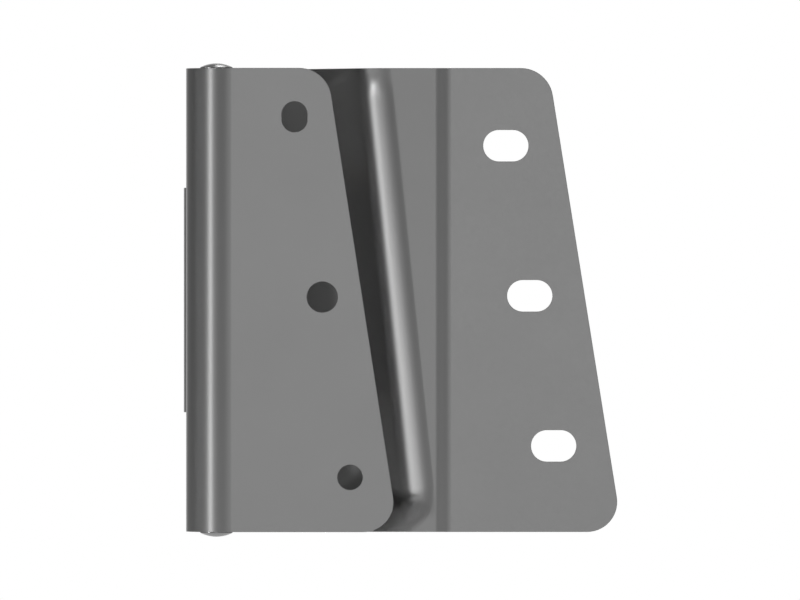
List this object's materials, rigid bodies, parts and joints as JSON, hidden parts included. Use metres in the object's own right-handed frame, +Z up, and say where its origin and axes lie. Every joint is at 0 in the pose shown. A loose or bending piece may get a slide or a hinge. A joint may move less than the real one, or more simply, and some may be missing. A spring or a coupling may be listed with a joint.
{
  "type": "cabin door hinge",
  "caption": "Cranked pressed-steel cabin door hinge: narrow pillar leaf with a swan-neck bend over a wide door leaf with a deep pressed recess.",
  "frame": {"origin": "on the pin axis at the middle of the leaves' height", "axes": "+Z up along the pin axis, -Y out of the mounting faces, +X from the pin towards the free edges of both leaves, with the hinge closed"},
  "size_m": [0.1446, 0.0361, 0.1582],
  "materials": {
    "plated_sheet_steel": "satin zinc-plated pressed sheet steel",
    "turned_steel": "turned and plated steel with formed heads",
    "bronze_bush": "plain turned bearing bronze"
  },
  "bodies": {
    "pillar_side": {"pillar_leaf": "plated_sheet_steel", "hinge_pin": "turned_steel", "upper_end_bush": "turned_steel", "lower_end_bush": "turned_steel"},
    "door_side": {"door_leaf": "plated_sheet_steel", "upper_bearing_bush": "bronze_bush", "lower_bearing_bush": "bronze_bush"}
  },
  "joints": [
    {"name": "door_swing", "type": "hinge", "parent": "pillar_side", "child": "door_side", "pos_m": [0, 0, 0], "axis": [0, 0, 1], "range_deg": [0, 150]}
  ]
}
